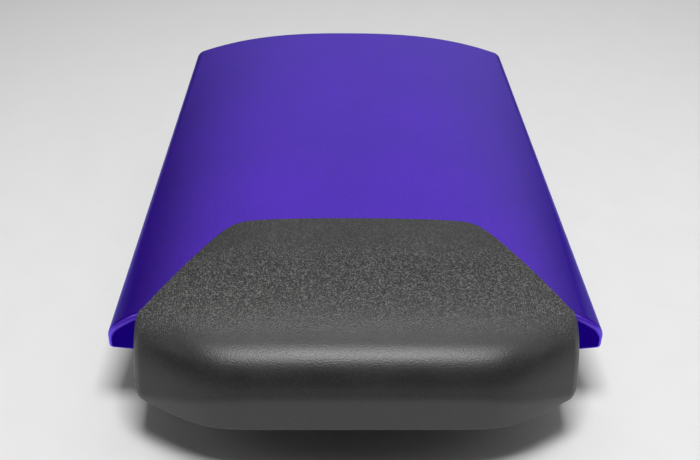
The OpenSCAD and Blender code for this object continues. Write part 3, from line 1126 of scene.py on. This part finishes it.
@dataclass(frozen=True)
class Softbox:
    """A rectangular soft light with its place, the point it faces, its size and its power."""

    name: str
    place: Triple
    size: Pair
    watts: float
    aim: Triple = (0.0, -0.05, 0.0)
    steep: float = 0.99

    def build(self) -> None:
        """Adds the light, which faces the aim.

        Its width lies level, or in the plane of X and Z where it points down more steeply than
        the cosine steep.
        """
        light = bpy.data.lights.new(self.name, "AREA")
        light.shape = "RECTANGLE"
        light.size, light.size_y = self.size
        light.energy = self.watts
        lamp = bpy.data.objects.new(self.name, light)
        back = np.array(self.place) - np.array(self.aim)
        back /= np.linalg.norm(back)
        hint = (0.0, 1.0, 0.0) if abs(back[2]) > self.steep else (0.0, 0.0, 1.0)
        right = np.cross(hint, back)
        right /= np.linalg.norm(right)
        turn = np.eye(4)
        turn[:3, :3] = np.stack([right, np.cross(back, right), back], 1)
        turn[:3, 3] = self.place
        lamp.matrix_world = Matrix(turn.tolist())
        bpy.context.scene.collection.objects.link(lamp)


@dataclass
class Studio:
    """Pale floor, soft lights and the camera of the photograph."""

    span: float = 5.0
    softboxes: tuple[Softbox, ...] = (
        Softbox("overhead_softbox", (0.02, -0.20, 1.20), (0.44, 0.32), 13.5),
        Softbox("rear_softbox", (0.08, 0.76, 1.16), (1.60, 0.40), 0.9),
        Softbox("left_panel", (-1.00, -0.12, 0.62), (0.50, 0.45), 0.9),
        Softbox("right_panel", (1.00, -0.12, 0.62), (0.50, 0.45), 0.9))
    place: Triple = (-0.0194, -0.5732, 0.5245)
    pitch: float = 40.8
    yaw: float = 1.80
    roll: float = 1.35
    lens: float = 68.66
    sensor: float = 36.0
    clip: Pair = (0.01, 50.0)

    def floor(self) -> None:
        """A large level sheet."""
        corners = np.array([(-1, -1, 0), (1, -1, 0), (1, 1, 0), (-1, 1, 0)], float) * self.span
        sheet = mesh_piece("studio_floor", corners, [[0, 1, 2, 3]])
        sheet.data.materials.append(PaleFloor().make())

    def lights(self) -> None:
        """A softbox above the pad, a wide dim one behind, a panel at each side, and the room."""
        for softbox in self.softboxes:
            softbox.build()
        bpy.context.scene.world = StudioRoom().make()
        bpy.context.scene.view_settings.view_transform = "Standard"

    def camera(self) -> None:
        """A camera from its place and three turns: yaw to the right, pitch down, then roll."""
        pitch, yaw, roll = np.radians([self.pitch, self.yaw, self.roll])
        ahead = np.array([np.sin(yaw) * np.cos(pitch), np.cos(yaw) * np.cos(pitch),
                          -np.sin(pitch)])
        right = np.array([np.cos(yaw), -np.sin(yaw), 0.0])
        up = np.cross(right, ahead)
        turn = np.eye(4)
        turn[:3, 0] = np.cos(roll) * right + np.sin(roll) * up
        turn[:3, 1] = -np.sin(roll) * right + np.cos(roll) * up
        turn[:3, 2] = -ahead
        turn[:3, 3] = self.place
        data = bpy.data.cameras.new("studio_camera")
        data.lens, data.sensor_width = self.lens, self.sensor
        data.clip_start, data.clip_end = self.clip
        camera = bpy.data.objects.new("studio_camera", data)
        camera.matrix_world = Matrix(turn.tolist())
        bpy.context.scene.collection.objects.link(camera)
        bpy.context.scene.camera = camera

    def build(self) -> None:
        """Floor, lights and camera."""
        self.floor()
        self.lights()
        self.camera()


def main() -> None:
    """Builds the studio, the shell and the pad, and dresses the fittings."""
    logging.basicConfig(level=logging.INFO, format="%(name)s %(message)s")
    Studio().build()
    arch = Arch()
    studs = StudPlaces(arch)
    for part in (PaintedShell(arch, studs), BumpPad(arch, studs)):
        part.build()
        part.dress()
    Fittings(frame["nodes"]).dress()


if __name__ == "__main__":
    main()
